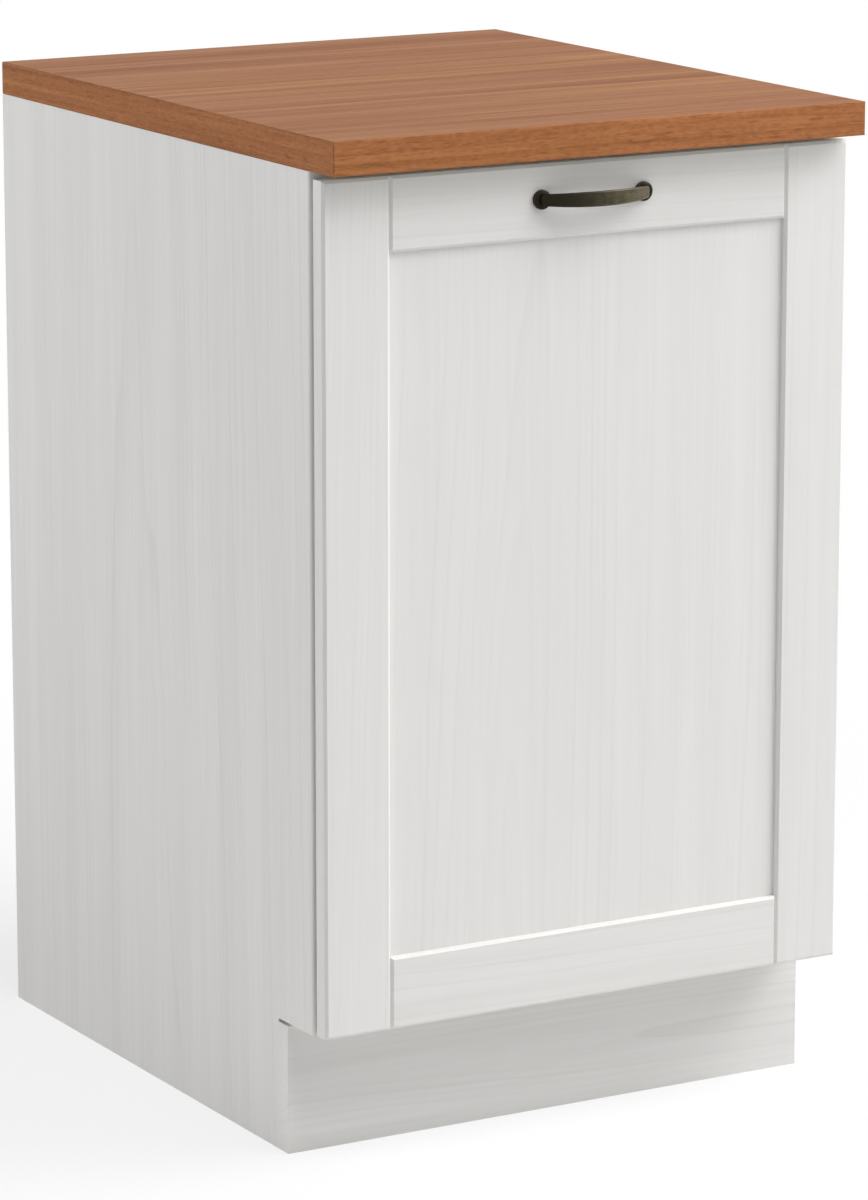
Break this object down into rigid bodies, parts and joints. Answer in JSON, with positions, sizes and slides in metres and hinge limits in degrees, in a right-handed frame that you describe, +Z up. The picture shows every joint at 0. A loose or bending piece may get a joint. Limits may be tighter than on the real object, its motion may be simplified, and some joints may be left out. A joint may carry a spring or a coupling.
{
  "type": "kitchen base cabinet",
  "caption": "Kitchen base cabinet with a white framed door on concealed hinges, bowed pull, recessed plinth, loose shelf and a wood-grain worktop",
  "frame": {"origin": "on the floor, under the middle of the worktop", "axes": "+X to the right seen from the front, +Y to the back, +Z up; the door front faces -Y"},
  "size_m": [0.5, 0.6, 0.85],
  "materials": {
    "white_foil_board": "white wood-grain foil on board, satin",
    "white_hardboard": "white lacquered thin fibreboard, matt",
    "worktop_laminate": "red-brown wood-grain laminate, satin",
    "beech": "plain turned beech",
    "aged_bronze": "dark aged bronze with worn edges",
    "nickel_plate": "nickel-plated pressed steel",
    "plated_steel": "zinc-plated steel",
    "zinc_casting": "bare zinc die-casting",
    "white_plastic": "moulded white plastic",
    "soft_pad": "soft clear pad"
  },
  "bodies": {
    "carcass": {"back_panel": "white_hardboard", "bottom_panel": "white_foil_board", "cam_bolts": "plated_steel", "cam_locks": "zinc_casting", "dowels": "beech", "front_rail": "white_foil_board", "hinge_arm_lower": "nickel_plate", "hinge_arm_pins": "plated_steel", "hinge_arm_screws": "plated_steel", "hinge_arm_upper": "nickel_plate", "hinge_plate_lower": "nickel_plate", "hinge_plate_screws": "plated_steel", "hinge_plate_upper": "nickel_plate", "plinth_blocks": "white_plastic", "plinth_board": "white_foil_board", "plinth_screws": "plated_steel", "rear_rail": "white_foil_board", "shelf": "white_foil_board", "shelf_pins": "plated_steel", "side_panel_left": "white_foil_board", "side_panel_right": "white_foil_board", "worktop_board": "worktop_laminate", "worktop_front_edging": "worktop_laminate", "worktop_left_edging": "worktop_laminate", "worktop_right_edging": "worktop_laminate", "worktop_screws": "plated_steel"},
    "hinge_outer_levers": {"hinge_outer_lever_lower": "nickel_plate", "hinge_outer_lever_upper": "nickel_plate"},
    "hinge_inner_levers": {"hinge_inner_lever_lower": "nickel_plate", "hinge_inner_lever_upper": "nickel_plate", "hinge_lever_pins": "plated_steel"},
    "door": {"door_bottom_rail": "white_foil_board", "door_bumpers": "soft_pad", "door_free_stile": "white_foil_board", "door_hinge_stile": "white_foil_board", "door_panel": "white_foil_board", "door_top_rail": "white_foil_board", "hinge_cup_lower": "nickel_plate", "hinge_cup_pins": "plated_steel", "hinge_cup_screws": "plated_steel", "hinge_cup_upper": "nickel_plate", "pull_bow": "aged_bronze", "pull_rosettes": "aged_bronze", "pull_screws": "plated_steel"}
  },
  "joints": [
    {"name": "outer_lever_swing", "type": "hinge", "parent": "carcass", "child": "hinge_outer_levers", "pos_m": [0.2164, -0.2561, 0.465], "axis": [0, 0, 1], "range_deg": [-28.8, 0]},
    {"name": "door_swing", "type": "hinge", "parent": "hinge_outer_levers", "child": "door", "pos_m": [0.2368, -0.2653, 0.465], "axis": [0, 0, 1], "range_deg": [0, 123.8]},
    {"name": "inner_lever_swing", "type": "hinge", "parent": "carcass", "child": "hinge_inner_levers", "pos_m": [0.2092, -0.2524, 0.465], "axis": [0, 0, 1], "range_deg": [-9.1, 0]}
  ],
  "couplings": [
    {"joint": "outer_lever_swing", "follows": "door_swing", "ratio": -0.2326},
    {"joint": "inner_lever_swing", "follows": "door_swing", "ratio": -0.0735}
  ]
}
